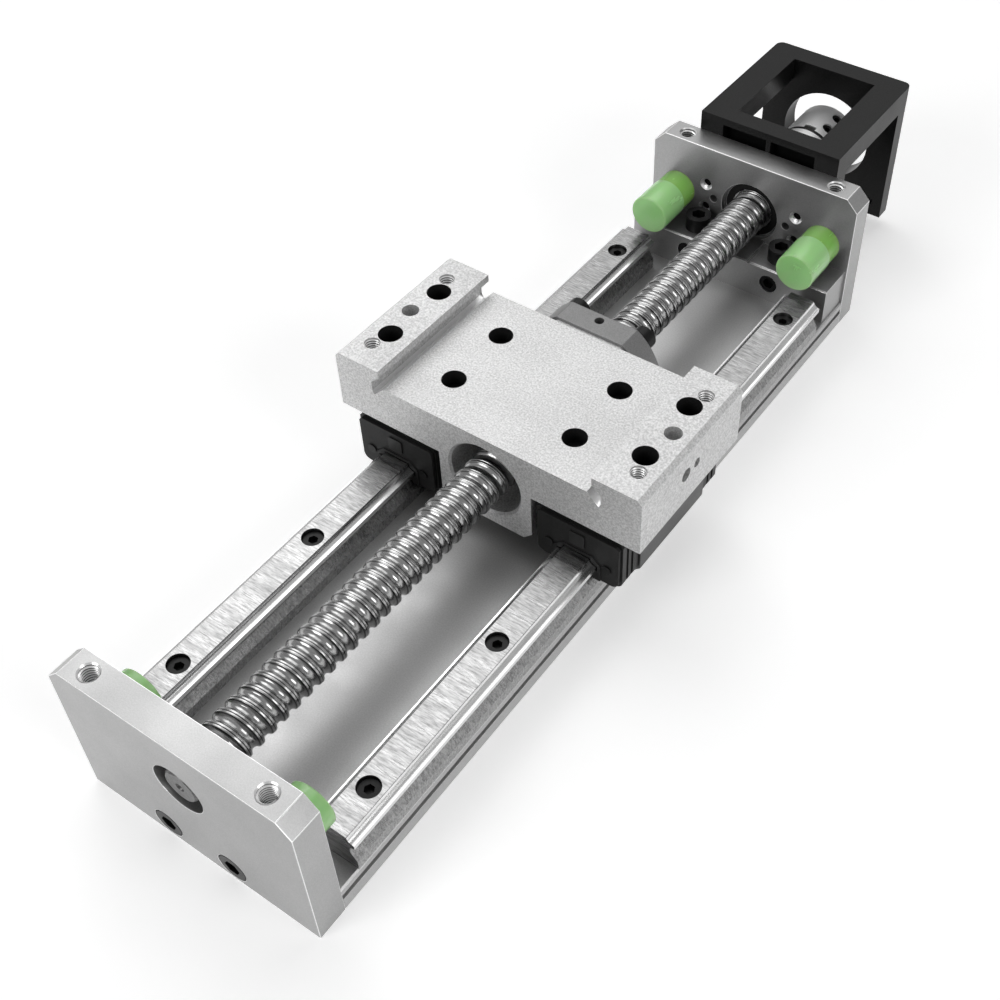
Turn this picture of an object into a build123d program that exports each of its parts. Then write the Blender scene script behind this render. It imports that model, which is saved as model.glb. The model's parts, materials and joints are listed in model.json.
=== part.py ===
from build123d import *
from math import cos, floor, radians, sin
import os

os.makedirs("parts", exist_ok=True)

# Ball screw linear stage, in millimetres. X runs across, Y along the screw towards the motor side,
# Z up. The origin is the middle of the underside of the base plate.

# Main layout
rail_gauge = 74.0            # between the centre lines of the two rails
screw_height = 36.5          # screw axis above the underside of the base
rest_offset = 6.5            # middle of the carriage in front of the middle of the base, at rest
running_gap = 0.3            # between turning or sliding faces that don't touch
fit_gap = 0.05               # round a piece that is set into a bore

# Base plate
base_width = 89.0
base_length = 301.0
base_thickness = 11.0
base_slot_height = 2.3       # long slot in each side of the base
base_slot_depth = 2.2
base_slot_level = 6.85       # middle of the slot above the underside
base_edge = 0.5
mount_hole_x = 22.0          # tapped holes in the underside, for fixing the stage down
mount_hole_y = 120.0
mount_hole_depth = 8.0
m6_radius = 3.0
m6_tap_radius = 2.5
m5_radius = 2.5
m5_tap_radius = 2.1
m4_radius = 2.0

# Profile rails
rail_width = 15.0
rail_height = 15.0
rail_length = 271.0
rail_hole_pitch = 60.0
rail_hole_count = 5
rail_shift = 7.3             # middle of the rail behind the middle of the base, on the idler side
rail_top_half = 4.9          # half the width of the flat top
rail_land_top = 12.7         # widest land between the two ball grooves, above the rail's seat
rail_land_bottom = 11.0
rail_waist_half = 5.4
rail_waist_top = 8.6
rail_waist_bottom = 7.2
rail_foot_height = 4.0
rail_groove_sagitta = 0.65   # how deep each ball groove is
rail_hole_radius = 2.25
rail_bore_radius = 3.75      # counterbore
rail_bore_depth = 5.3
rail_screw_length = 16.0
m4_head_radius = 3.5
m4_head_height = 4.0
m4_socket = 3.0              # across the flats of the hexagon

# End plates
plate_thickness = 10.5
plate_height = 58.5
plate_chamfer = 4.75
plate_screw_x = 12.5         # screws that hold each plate on the end of the base
plate_screw_level = 6.0
m6_bore_radius = 5.25
m6_head_radius = 5.0
m6_head_height = 6.0
m6_socket = 5.0
m6_clear_radius = 3.25
plate_screw_length = 16.0
plate_top_hole_x = 32.5      # tapped holes in the top edge of each plate
plate_top_hole_depth = 12.0

# Screw and its ends
screw_radius = 8.0
journal_radius = 6.0
journal_recess = 0.7         # the end of the screw lies this far inside the idler plate
motor_end_radius = 5.0
end_bevel = 0.6
screw_lead = 5.0
screw_groove_radius = 1.75   # the ball groove, a ring for each turn of the thread
screw_groove_depth = 1.15
groove_run_in = 5.2          # from the shoulder at the idler plate to the first groove

# Idler bearing, set in from the back of the idler plate
idler_outer_radius = 12.0
idler_bearing_width = 6.0
idler_window_radius = 9.0
idler_ball_radius = 1.5
idler_ball_count = 12
clip_radius = 7.3
clip_thickness = 1.0
clip_groove_radius = 5.7

# Motor side bearing, set in from the far face of the motor plate
motor_outer_radius = 14.0
motor_bearing_width = 8.0
motor_window_radius = 12.4
motor_ball_radius = 1.9
motor_ball_count = 11
race_overlap = 0.45          # how far each ring reaches over the balls
seal_thickness = 0.6
seal_inset = 0.25
ball_gap = 0.12
locknut_radius = 11.0
locknut_width = 6.5
locknut_slot = 3.0
locknut_slot_depth = 1.6

# Foot block in front of the motor plate
foot_width = 87.0
foot_length = 15.2
foot_height = 15.0
foot_screw_x = 18.7
foot_screw_setback = 6.6     # from the motor plate to the vertical screws
foot_screw_length = 22.0
lock_level = 8.0             # level of the lock screws above the seat of the foot
lock_radius = 3.85
lock_length = 5.0
lock_socket = 4.0
foot_slot_x = 9.2            # shallow slot along the top of the foot
foot_slot_width = 1.4
foot_slot_depth = 0.9

# Bumpers
bumper_radius = 7.8
bumper_x = 32.3
bumper_level = 35.7
near_bumper_length = 8.0
far_bumper_length = 22.9
bumper_edge = 0.4
bumper_neck_radius = 7.5     # rear part of the long bumpers
bumper_neck_length = 8.6
stud_hole_depth = 8.0
stud_depth = 7.5             # stud in the plate
stud_reach = 5.0             # stud in the bumper

# Runner blocks
block_width = 34.0
block_top = 39.0             # top face above the underside of the base
block_bottom = 15.3
block_body_length = 39.4
block_length = 61.4
block_bevel = 2.4
block_clearance = 0.35       # round the rail
cap_half_width = 16.3
cap_drop = 1.5               # top of the cap below the top of the block
cap_bottom = 16.6
cap_round = 2.8
cap_bevel = 1.2              # upper corners of the cap
cap_groove_width = 1.2       # two upright grooves in each side of a cap
cap_groove_depth = 0.5
cap_groove_pitch = 2.8
seal_plate_thickness = 1.4
seal_plate_inset = 0.7
seal_lip_width = 1.2         # raised lip round the rail
seal_lip_height = 0.5
cap_screw_x = 11.1
cap_screw_level = 24.2
cap_screw_radius = 1.8
cap_screw_head = 0.5
plug_level = 31.9
plug_size = 5.8
plug_round = 1.0
plug_height = 0.5
block_hole_spacing = 26.0    # square pattern of tapped holes in each block
block_hole_depth = 6.0

# Saddle
saddle_length = 60.0
saddle_width = 119.4
saddle_top = 62.4
saddle_chamfer = 1.7
platform_level = 55.4
platform_half = 39.9
channel_floor_x = 44.3       # undercut channel beside the platform
channel_floor_level = 50.9
channel_outer_x = 45.0
channel_side_bottom = 52.5
channel_side_top = 56.4
channel_lip_x = 41.6
channel_lip_level = 59.5
web_half_width = 18.5
web_bottom = 17.8
web_chamfer = 3.4
nut_bore_bevel = 0.8
nut_seat_height = 0.8        # the nut seat stands proud behind the saddle, clear of the runner blocks
nut_seat_inset = 1.2         # edge of the seat inside the edge of the flange
saddle_bore_radius = 4.25    # counterbores for the block screws
saddle_hole_radius = 2.25
saddle_seat = 7.0            # seat of the block screws above the underside of the saddle
pin_hole_x = 52.0
pin_hole_radius = 3.0
pin_hole_depth = 10.0
saddle_tap_x = 52.0
saddle_tap_y = 20.0
saddle_tap_depth = 12.0
grease_level = 51.5
grease_hole_radius = 2.5
vent_hole_radius = 1.75
grease_offset = -3.8
vent_offset = 2.7
side_hole_depth = 8.0

# Ball nut
nut_radius = 14.0
nut_length = 45.0
flange_radius = 24.0
flange_flats = 40.0
flange_thickness = 10.0
flange_bevel = 0.6
flange_hole_circle = 19.0
flange_hole_radius = 2.75
flange_screw_length = 20.0
m5_head_radius = 4.25
m5_head_height = 5.0
m5_socket = 4.0
oil_hole_radius = 1.65
oil_hole_depth = 9.0
oil_hole_setback = 6.3
wiper_radius = 11.0
wiper_width = 3.0

# Motor bracket and shaft coupling
bracket_size = 60.0
bracket_length = 63.5
bracket_near_wall = 8.0
bracket_far_wall = 9.2
bracket_rail_width = 12.0
bracket_rail_depth = 9.6
bracket_round = 3.0
bracket_near_bore = 12.0
pilot_radius = 19.05
motor_hole_spacing = 47.14
pocket_inner_x = 1.0
pocket_outer_x = 20.0
pocket_top = 27.0            # above the screw axis
pocket_bottom = 17.0
pocket_depth = 5.0
bracket_screw_x = 20.0
bracket_screw_dz = 5.5
bracket_screw_length = 12.0
spare_hole_x = 16.2
spare_tap_radius = 1.65
m4_bore_radius = 3.75
m4_bore_depth = 4.2
coupling_radius = 13.0
coupling_start = 16.2        # from the far face of the motor plate
hub_length = 19.3
disc_thickness = 1.4
tongue_width = 5.0
tongue_depth = 2.0
motor_shaft_radius = 4.0
set_screw_angle = 63.0
set_screw_first = 6.0        # from the inner face of the hub to its two set screws
set_screw_second = 14.5
set_screw_recess = 0.7
set_screw_socket = 2.5

# Places worked out from the sizes above
half_base = base_length / 2
rail_seat = base_thickness
rail_top = rail_seat + rail_height
idler_face = -half_base                       # inner face of the idler plate
idler_front = idler_face - plate_thickness
motor_face = half_base                        # inner face of the motor plate
motor_back = motor_face + plate_thickness
first_hole = -rail_hole_pitch * (rail_hole_count - 1) / 2 - rail_shift
rail_near_end = -rail_length / 2 - rail_shift
carriage_front = rest_offset - saddle_length / 2
carriage_back = rest_offset + saddle_length / 2
screw_axis = Axis((0, 0, screw_height), (0, 1, 0))
shaft_plane = Plane(origin=(0, 0, screw_height), x_dir=(0, 1, 0), z_dir=(1, 0, 0))
sides = {"left": -1, "right": 1}


def facing_front(y):
    """Drawing plane that faces the idler side, with X to the right and Z up."""
    return Plane.XZ.offset(-y)


def save(piece, name):
    """Label one finished piece and write it."""
    piece.label = name
    export_step(piece, f"parts/{name}.step")


def ring(y_near, y_far, inner, outer):
    """Plain ring round the screw axis, between two places along Y."""
    with BuildPart() as body:
        with BuildSketch(facing_front(y_near)):
            with Locations((0, screw_height)):
                Circle(outer)
                Circle(inner, mode=Mode.SUBTRACT)
        extrude(amount=-(y_far - y_near))
    return body.part


def cap_screw(radius, length, head_radius, head_height, socket):
    """Socket head screw pointing down, with the underside of its head at the origin."""
    with BuildPart() as body:
        with BuildSketch():
            Circle(head_radius)
        extrude(amount=head_height)
        with BuildSketch(Plane.XY.offset(head_height)):
            RegularPolygon(socket / 2, 6, major_radius=False)
        extrude(amount=-head_height / 2, mode=Mode.SUBTRACT)
        with BuildSketch():
            Circle(radius)
        extrude(amount=-length)
    return body.part


def grub_screw(radius, length, socket):
    """Headless screw pointing down, with its socket end at the origin."""
    with BuildPart() as body:
        with BuildSketch():
            Circle(radius)
        extrude(amount=-length)
        with BuildSketch():
            RegularPolygon(socket / 2, 6, major_radius=False)
        extrude(amount=-length / 2, mode=Mode.SUBTRACT)
    return body.part


def group(piece, places):
    """Separate copies of one piece at several places."""
    with BuildPart() as bodies:
        with Locations(*places):
            add(piece)
    return bodies.part


def rail_section(extra=0.0):
    """Half profile of the rail, mirrored: flat top, two ball grooves, waist and foot."""
    half = rail_width / 2
    with BuildSketch() as section:
        with BuildLine():
            Polyline((0, 0), (half, 0), (half, rail_foot_height), (rail_waist_half, rail_waist_bottom),
                     (rail_waist_half, rail_waist_top))
            SagittaArc((rail_waist_half, rail_waist_top), (half, rail_land_bottom), rail_groove_sagitta)
            Line((half, rail_land_bottom), (half, rail_land_top))
            SagittaArc((half, rail_land_top), (rail_top_half, rail_height), rail_groove_sagitta)
            Polyline((rail_top_half, rail_height), (0, rail_height), (0, 0))
        make_face()
        mirror(about=Plane.YZ)
        if extra:
            offset(amount=extra, kind=Kind.INTERSECTION)
    return section.sketch


# Base plate
base_hole_ys = [first_hole + i * rail_hole_pitch for i in range(rail_hole_count)]
rail_screw_seat = rail_top - rail_bore_depth
rail_screw_tip = rail_screw_seat - rail_screw_length
foot_screw_y = motor_face - foot_screw_setback
foot_top = rail_seat + foot_height
foot_screw_tip = foot_top - foot_screw_length
plate_screw_reach = plate_screw_length - (plate_thickness - m6_head_height)

with BuildPart() as base_plate:
    with BuildSketch():
        Rectangle(base_width, base_length)
    extrude(amount=base_thickness)
    chamfer(base_plate.edges().filter_by(Axis.Y), base_edge)
    with BuildSketch(facing_front(-half_base)):
        with Locations((-base_width / 2, base_slot_level), (base_width / 2, base_slot_level)):
            Rectangle(2 * base_slot_depth, base_slot_height)
    extrude(amount=-base_length, mode=Mode.SUBTRACT)
    with BuildSketch(Plane.XY.offset(rail_seat)):
        for side in sides.values():
            with Locations(*[(side * rail_gauge / 2, y) for y in base_hole_ys]):
                Circle(m4_radius)
    extrude(amount=rail_screw_tip - rail_seat, mode=Mode.SUBTRACT)
    with BuildSketch(Plane.XY.offset(rail_seat)):
        with Locations((-foot_screw_x, foot_screw_y), (foot_screw_x, foot_screw_y)):
            Circle(m6_radius)
    extrude(amount=foot_screw_tip - rail_seat, mode=Mode.SUBTRACT)
    with BuildSketch():
        with GridLocations(2 * mount_hole_x, 2 * mount_hole_y, 2, 2):
            Circle(m6_tap_radius)
    extrude(amount=mount_hole_depth, mode=Mode.SUBTRACT)
    for end, inward in ((-half_base, -1), (half_base, 1)):
        with BuildSketch(facing_front(end)):
            with Locations((-plate_screw_x, plate_screw_level), (plate_screw_x, plate_screw_level)):
                Circle(m6_radius)
        extrude(amount=inward * plate_screw_reach, mode=Mode.SUBTRACT)
save(base_plate.part, "base_plate")

# Rails and the screws that hold them
for name, side in sides.items():
    with BuildPart() as rail:
        with BuildSketch(facing_front(rail_near_end)):
            with Locations((side * rail_gauge / 2, rail_seat)):
                add(rail_section())
        extrude(amount=-rail_length)
        with Locations(*[(side * rail_gauge / 2, y, rail_top) for y in base_hole_ys]):
            CounterBoreHole(rail_hole_radius, rail_bore_radius, rail_bore_depth)
    save(rail.part, f"rail_{name}")

m4_rail_screw = cap_screw(m4_radius, rail_screw_length, m4_head_radius, m4_head_height, m4_socket)
rail_screw_places = [(side * rail_gauge / 2, y, rail_screw_seat) for side in sides.values() for y in base_hole_ys]
save(group(m4_rail_screw, rail_screw_places), "rail_screws")


def end_plate(y_near, bearing_at, window, seat_radius, seat_depth, holes_front):
    """Plate across one end of the base: window in front, bearing seat behind, screws into the base."""
    y_far = y_near + plate_thickness
    with BuildPart() as plate:
        with BuildSketch(facing_front(y_near)) as outline:
            with Locations((0, plate_height / 2)):
                Rectangle(base_width, plate_height)
            chamfer(outline.vertices().group_by(Axis.Y)[-1], plate_chamfer)
        extrude(amount=-plate_thickness)
        with BuildSketch(facing_front(y_near)):
            with Locations((0, screw_height)):
                Circle(window)
        extrude(amount=-plate_thickness, mode=Mode.SUBTRACT)
        with BuildSketch(facing_front(bearing_at)):
            with Locations((0, screw_height)):
                Circle(seat_radius)
        extrude(amount=seat_depth, mode=Mode.SUBTRACT)
        with BuildSketch(facing_front(y_near)):
            with Locations((-plate_screw_x, plate_screw_level), (plate_screw_x, plate_screw_level)):
                Circle(m6_clear_radius)
        extrude(amount=-plate_thickness, mode=Mode.SUBTRACT)
        with BuildSketch(facing_front(y_near if holes_front else y_far)):
            with Locations((-plate_screw_x, plate_screw_level), (plate_screw_x, plate_screw_level)):
                Circle(m6_bore_radius)
        extrude(amount=m6_head_height * (-1 if holes_front else 1), mode=Mode.SUBTRACT)
        with BuildSketch(Plane.XY.offset(plate_height)):
            with Locations(*[(side * plate_top_hole_x, (y_near + y_far) / 2) for side in sides.values()]):
                Circle(m6_tap_radius)
        extrude(amount=-plate_top_hole_depth, mode=Mode.SUBTRACT)
        with BuildSketch(facing_front(idler_face if holes_front else motor_face)):
            with Locations((-bumper_x, bumper_level), (bumper_x, bumper_level)):
                Circle(m5_radius)
        extrude(amount=stud_hole_depth * (1 if holes_front else -1), mode=Mode.SUBTRACT)
    return plate


# Idler end plate, on the near end
idler_plate = end_plate(idler_front, idler_face, idler_window_radius, idler_outer_radius,
                        idler_bearing_width, True)
save(idler_plate.part, "idler_end_plate")

# Motor end plate, with its tapped holes for the bracket
motor_plate = end_plate(motor_face, motor_back, motor_window_radius, motor_outer_radius,
                        motor_bearing_width, False)
bracket_screw_spots = [(x, screw_height + dz) for x in (-bracket_screw_x, bracket_screw_x)
                       for dz in (-bracket_screw_dz, bracket_screw_dz)]
with BuildPart() as motor_end_plate:
    add(motor_plate.part)
    with BuildSketch(facing_front(motor_face)):
        with Locations(*bracket_screw_spots):
            Circle(m4_radius)
        with Locations((-spare_hole_x, screw_height), (spare_hole_x, screw_height)):
            Circle(spare_tap_radius)
    extrude(amount=-plate_thickness, mode=Mode.SUBTRACT)
save(motor_end_plate.part, "motor_end_plate")

# Screws that hold the end plates on the base
m6_plate_screw = cap_screw(m6_radius, plate_screw_length, m6_head_radius, m6_head_height, m6_socket)
idler_seat = idler_front + m6_head_height
motor_seat = motor_back - m6_head_height
save(group(m6_plate_screw, [Location((side * plate_screw_x, idler_seat, plate_screw_level), (90, 0, 0))
                            for side in sides.values()]), "idler_plate_screws")
save(group(m6_plate_screw, [Location((side * plate_screw_x, motor_seat, plate_screw_level), (-90, 0, 0))
                            for side in sides.values()]), "motor_plate_screws")

# Foot block with its clamp screws and lock screws
foot_front = motor_face - foot_length
lock_height = rail_seat + lock_level
with BuildPart() as foot_block:
    with BuildSketch(Plane.XY.offset(rail_seat)):
        with Locations((0, motor_face - foot_length / 2)):
            Rectangle(foot_width, foot_length)
    extrude(amount=foot_height)
    chamfer(foot_block.edges().group_by(Axis.Z)[-1].filter_by(Axis.X).sort_by(Axis.Y)[0], base_edge)
    with BuildSketch(Plane.XY.offset(foot_top)):
        with Locations((-foot_screw_x, foot_screw_y), (foot_screw_x, foot_screw_y)):
            Circle(m6_clear_radius)
    extrude(amount=-foot_height, mode=Mode.SUBTRACT)
    with BuildSketch(facing_front(foot_front)):
        with Locations((-foot_screw_x, lock_height), (foot_screw_x, lock_height)):
            Circle(lock_radius)
    extrude(amount=-(foot_length - foot_screw_setback), mode=Mode.SUBTRACT)
    with BuildSketch(facing_front(foot_front)):
        with Locations((foot_slot_x, foot_top)):
            Rectangle(foot_slot_width, 2 * foot_slot_depth)
    extrude(amount=-foot_length, mode=Mode.SUBTRACT)
save(foot_block.part, "motor_foot_block")

m6_foot_screw = cap_screw(m6_radius, foot_screw_length, m6_head_radius, m6_head_height, m6_socket)
save(group(m6_foot_screw, [(side * foot_screw_x, foot_screw_y, foot_top) for side in sides.values()]),
     "foot_clamp_screws")
lock_screw = grub_screw(lock_radius, lock_length, lock_socket)
lock_face = foot_screw_y - m6_radius - fit_gap - lock_length
save(group(lock_screw, [Location((side * foot_screw_x, lock_face, lock_height), (90, 0, 0))
                        for side in sides.values()]), "foot_lock_screws")


def bearing(name, y_near, width, outer, ball_radius, ball_count):
    """Deep groove ball bearing: two grooved rings, two seals and the balls."""
    y_far = y_near + width
    middle = (y_near + y_far) / 2
    pitch = (journal_radius + outer) / 2
    inner_top = pitch - ball_radius + race_overlap
    outer_bottom = pitch + ball_radius - race_overlap
    for part_name, low, high in (("inner_ring", journal_radius, inner_top), ("outer_ring", outer_bottom, outer)):
        with BuildPart() as race:
            with BuildSketch(shaft_plane):
                with Locations((middle, (low + high) / 2)):
                    Rectangle(width, high - low)
                with Locations((middle, pitch)):
                    Circle(ball_radius + ball_gap, mode=Mode.SUBTRACT)
            revolve(axis=screw_axis)
        save(race.part, f"{name}_bearing_{part_name}")
    near_seal = ring(y_near + seal_inset, y_near + seal_inset + seal_thickness,
                     inner_top + running_gap, outer_bottom)
    far_seal = ring(y_far - seal_inset - seal_thickness, y_far - seal_inset,
                    inner_top + running_gap, outer_bottom)
    with BuildPart() as seals:
        add(near_seal)
        add(far_seal)
    save(seals.part, f"{name}_bearing_seals")
    with BuildPart() as balls:
        with Locations(*[(pitch * cos(radians(a)), middle, screw_height + pitch * sin(radians(a)))
                         for a in [i * 360 / ball_count for i in range(ball_count)]]):
            Sphere(ball_radius)
    save(balls.part, f"{name}_bearing_balls")


bearing("idler", idler_face - idler_bearing_width, idler_bearing_width, idler_outer_radius,
        idler_ball_radius, idler_ball_count)
bearing("motor", motor_back - motor_bearing_width, motor_bearing_width, motor_outer_radius,
        motor_ball_radius, motor_ball_count)

# Bumpers and their studs
bumper_spots = {"near": (idler_face, near_bumper_length, -1), "far": (motor_face, far_bumper_length, 1)}
for end, (face, length, outward) in bumper_spots.items():
    for name, side in sides.items():
        with BuildPart() as bumper:
            neck = bumper_neck_length if end == "far" else 0.0
            if neck:
                with BuildSketch(facing_front(face)):
                    with Locations((side * bumper_x, bumper_level)):
                        Circle(bumper_neck_radius)
                extrude(amount=outward * neck)
            with BuildSketch(facing_front(face - outward * neck)):
                with Locations((side * bumper_x, bumper_level)):
                    Circle(bumper_radius)
            extrude(amount=outward * (length - neck))
            free_edges = bumper.edges().group_by(Axis.Y)[0 if outward > 0 else -1]
            chamfer(free_edges, bumper_edge)
            with BuildSketch(facing_front(face)):
                with Locations((side * bumper_x, bumper_level)):
                    Circle(m5_radius)
            extrude(amount=outward * stud_reach, mode=Mode.SUBTRACT)
        save(bumper.part, f"{end}_bumper_{name}")
with BuildPart() as studs:
    for face, outward in ((idler_face, -1), (motor_face, 1)):
        with BuildSketch(facing_front(face + outward * stud_depth)):
            with Locations((-bumper_x, bumper_level), (bumper_x, bumper_level)):
                Circle(m5_radius)
        extrude(amount=outward * (stud_depth + stud_reach))
save(studs.part, "bumper_studs")

# Ball screw
idler_bearing_near = idler_face - idler_bearing_width
motor_bearing_near = motor_back - motor_bearing_width
locknut_far = motor_back + locknut_width
coupling_near = motor_back + coupling_start
hub_end = coupling_near + hub_length
screw_end_near = idler_front + journal_recess
clip_near = idler_bearing_near - clip_thickness
with BuildPart() as ball_screw:
    with BuildSketch(shaft_plane):
        with BuildLine():
            Polyline(
                (screw_end_near, 0), (screw_end_near, journal_radius - end_bevel),
                (screw_end_near + end_bevel, journal_radius), (clip_near, journal_radius),
                (clip_near, clip_groove_radius), (idler_bearing_near, clip_groove_radius),
                (idler_bearing_near, journal_radius), (idler_face, journal_radius),
                (idler_face, screw_radius - end_bevel), (idler_face + end_bevel, screw_radius),
                (motor_bearing_near - end_bevel, screw_radius),
                (motor_bearing_near, screw_radius - end_bevel), (motor_bearing_near, journal_radius),
                (locknut_far, journal_radius), (locknut_far, motor_end_radius),
                (hub_end - end_bevel, motor_end_radius), (hub_end, motor_end_radius - end_bevel),
                (hub_end, 0), close=True)
        make_face()
    revolve(axis=screw_axis)
    groove_level = screw_radius - screw_groove_depth + screw_groove_radius
    first_groove = idler_face + groove_run_in
    groove_count = floor((motor_bearing_near - first_groove) / screw_lead)
    with BuildSketch(shaft_plane):
        with Locations(*[(first_groove + i * screw_lead, groove_level) for i in range(groove_count)]):
            Circle(screw_groove_radius)
    revolve(axis=screw_axis, mode=Mode.SUBTRACT)
save(ball_screw.part, "ball_screw")

# Retaining ring on the near journal
with BuildPart() as clip:
    with BuildSketch(facing_front(clip_near)):
        with Locations((0, screw_height)):
            Circle(clip_radius)
            Circle(clip_groove_radius, mode=Mode.SUBTRACT)
        with Locations((0, screw_height - clip_radius)):
            Rectangle(clip_radius / 2, clip_radius, mode=Mode.SUBTRACT)
    extrude(amount=-clip_thickness)
save(clip.part, "idler_retaining_ring")

# Locknut behind the motor side bearing
with BuildPart() as locknut:
    with BuildSketch(facing_front(motor_back)):
        with Locations((0, screw_height)):
            Circle(locknut_radius)
            Circle(journal_radius, mode=Mode.SUBTRACT)
            with PolarLocations(locknut_radius, 4):
                Rectangle(2 * locknut_slot_depth, locknut_slot, mode=Mode.SUBTRACT)
    extrude(amount=-locknut_width)
save(locknut.part, "bearing_locknut")

# Motor bracket: two walls joined by a top with a window, open at the sides and below
bracket_far = motor_back + bracket_length
bracket_top = screw_height + bracket_size / 2
wall_inside = motor_back + bracket_near_wall
far_wall_inside = bracket_far - bracket_far_wall
with BuildPart() as motor_bracket:
    with BuildSketch(facing_front(motor_back)):
        with Locations((0, screw_height)):
            Rectangle(bracket_size, bracket_size)
    extrude(amount=-bracket_length)
    fillet(motor_bracket.edges().filter_by(Axis.Z).group_by(Axis.Y)[-1], bracket_round)
    with BuildSketch(Plane.XY.offset(bracket_top - bracket_rail_depth)):
        with Locations((0, (wall_inside + far_wall_inside) / 2)):
            Rectangle(bracket_size, far_wall_inside - wall_inside)
    extrude(amount=-bracket_size, mode=Mode.SUBTRACT)
    with BuildSketch(Plane.XY.offset(bracket_top)):
        with Locations((0, (wall_inside + far_wall_inside) / 2)):
            Rectangle(bracket_size - 2 * bracket_rail_width, far_wall_inside - wall_inside)
    extrude(amount=-bracket_rail_depth, mode=Mode.SUBTRACT)
    with BuildSketch(facing_front(motor_back)):
        with Locations(*[(side * (pocket_inner_x + pocket_outer_x) / 2,
                          screw_height + (pocket_top + pocket_bottom) / 2) for side in sides.values()]):
            Rectangle(pocket_outer_x - pocket_inner_x, pocket_top - pocket_bottom)
    extrude(amount=-pocket_depth, mode=Mode.SUBTRACT)
    with BuildSketch(facing_front(motor_back)):
        with Locations((0, screw_height)):
            Circle(bracket_near_bore)
        with Locations(*bracket_screw_spots):
            Circle(rail_hole_radius)
    extrude(amount=-bracket_near_wall, mode=Mode.SUBTRACT)
    with BuildSketch(facing_front(wall_inside)):
        with Locations(*bracket_screw_spots):
            Circle(m4_bore_radius)
    extrude(amount=m4_bore_depth, mode=Mode.SUBTRACT)
    with BuildSketch(facing_front(far_wall_inside)):
        with Locations((0, screw_height)):
            Circle(pilot_radius)
            with GridLocations(motor_hole_spacing, motor_hole_spacing, 2, 2):
                Circle(m5_tap_radius)
    extrude(amount=-bracket_far_wall, mode=Mode.SUBTRACT)
save(motor_bracket.part, "motor_bracket")

bracket_screw_seat = wall_inside - m4_bore_depth
m4_bracket_screw = cap_screw(m4_radius, bracket_screw_length, m4_head_radius, m4_head_height, m4_socket)
save(group(m4_bracket_screw, [Location((x, bracket_screw_seat, z), (-90, 0, 0)) for x, z in bracket_screw_spots]),
     "bracket_screws")

# Shaft coupling: two hubs with a centre disc between them
disc_far = hub_end + disc_thickness
coupling_far = disc_far + hub_length


def hub(y_near, bore, slot_near, slot_turn, screw_ys):
    """One coupling hub, slotted for the tongue of the disc and drilled for its set screws."""
    with BuildPart() as body:
        add(ring(y_near, y_near + hub_length, bore, coupling_radius))
        outer_edges = body.edges().filter_by(GeomType.CIRCLE).group_by(SortBy.RADIUS)[-1]
        chamfer(outer_edges, end_bevel / 2)
        slot_y = y_near if slot_near else y_near + hub_length
        with BuildSketch(facing_front(slot_y)):
            with Locations(Location((0, screw_height), slot_turn)):
                Rectangle(2 * coupling_radius, tongue_width)
        extrude(amount=(-1 if slot_near else 1) * tongue_depth, mode=Mode.SUBTRACT)
        for y in screw_ys:
            drill = Plane(origin=(0, y, screw_height), x_dir=(0, 1, 0),
                          z_dir=(cos(radians(set_screw_angle)), 0, sin(radians(set_screw_angle))))
            with BuildSketch(drill):
                Circle(m5_radius)
            extrude(amount=coupling_radius, mode=Mode.SUBTRACT)
    return body.part


screw_side_ys = [hub_end - set_screw_first, hub_end - set_screw_second]
motor_side_ys = [disc_far + set_screw_first, disc_far + set_screw_second]
save(hub(coupling_near, motor_end_radius, False, 0, screw_side_ys), "coupling_screw_hub")
save(hub(disc_far, motor_shaft_radius, True, 90, motor_side_ys), "coupling_motor_hub")
with BuildPart() as disc:
    add(ring(hub_end, disc_far, motor_end_radius, coupling_radius))
    for y, turn, grow in ((hub_end, 0, 1), (disc_far, 90, -1)):
        with BuildSketch(facing_front(y)) as tongue:
            with Locations((0, screw_height)):
                Circle(coupling_radius - end_bevel)
            with Locations(Location((0, screw_height), turn)):
                Rectangle(2 * coupling_radius, tongue_width - 2 * fit_gap, mode=Mode.INTERSECT)
            with Locations((0, screw_height)):
                Circle(motor_end_radius + fit_gap, mode=Mode.SUBTRACT)
        extrude(amount=grow * tongue_depth)
save(disc.part, "coupling_center_disc")

set_screw_top = coupling_radius - set_screw_recess
with BuildPart() as set_screws:
    for ys, shaft in ((screw_side_ys, motor_end_radius), (motor_side_ys, motor_shaft_radius)):
        screw = grub_screw(m5_radius, set_screw_top - shaft - fit_gap, set_screw_socket)
        for y in ys:
            place = Plane(origin=(set_screw_top * cos(radians(set_screw_angle)), y,
                                  screw_height + set_screw_top * sin(radians(set_screw_angle))),
                          x_dir=(0, 1, 0),
                          z_dir=(cos(radians(set_screw_angle)), 0, sin(radians(set_screw_angle))))
            with Locations(place):
                add(screw)
save(set_screws.part, "coupling_set_screws")

# Runner blocks: steel body, end caps, end seals, small screws and grease plugs
body_half = block_body_length / 2
block_half = block_length / 2
cap_length = block_half - body_half - seal_plate_thickness
cap_top = block_top - cap_drop
cap_height = cap_top - cap_bottom
cap_middle = (cap_top + cap_bottom) / 2


def cap_outline(inset):
    """Outline of an end cap about its middle: rounded below, bevelled above."""
    with BuildSketch() as outline:
        Rectangle(2 * (cap_half_width - inset), cap_height - 2 * inset)
        fillet(outline.vertices().group_by(Axis.Y)[0], cap_round)
        chamfer(outline.vertices().group_by(Axis.Y)[-1], cap_bevel)
    return outline.sketch


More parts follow.
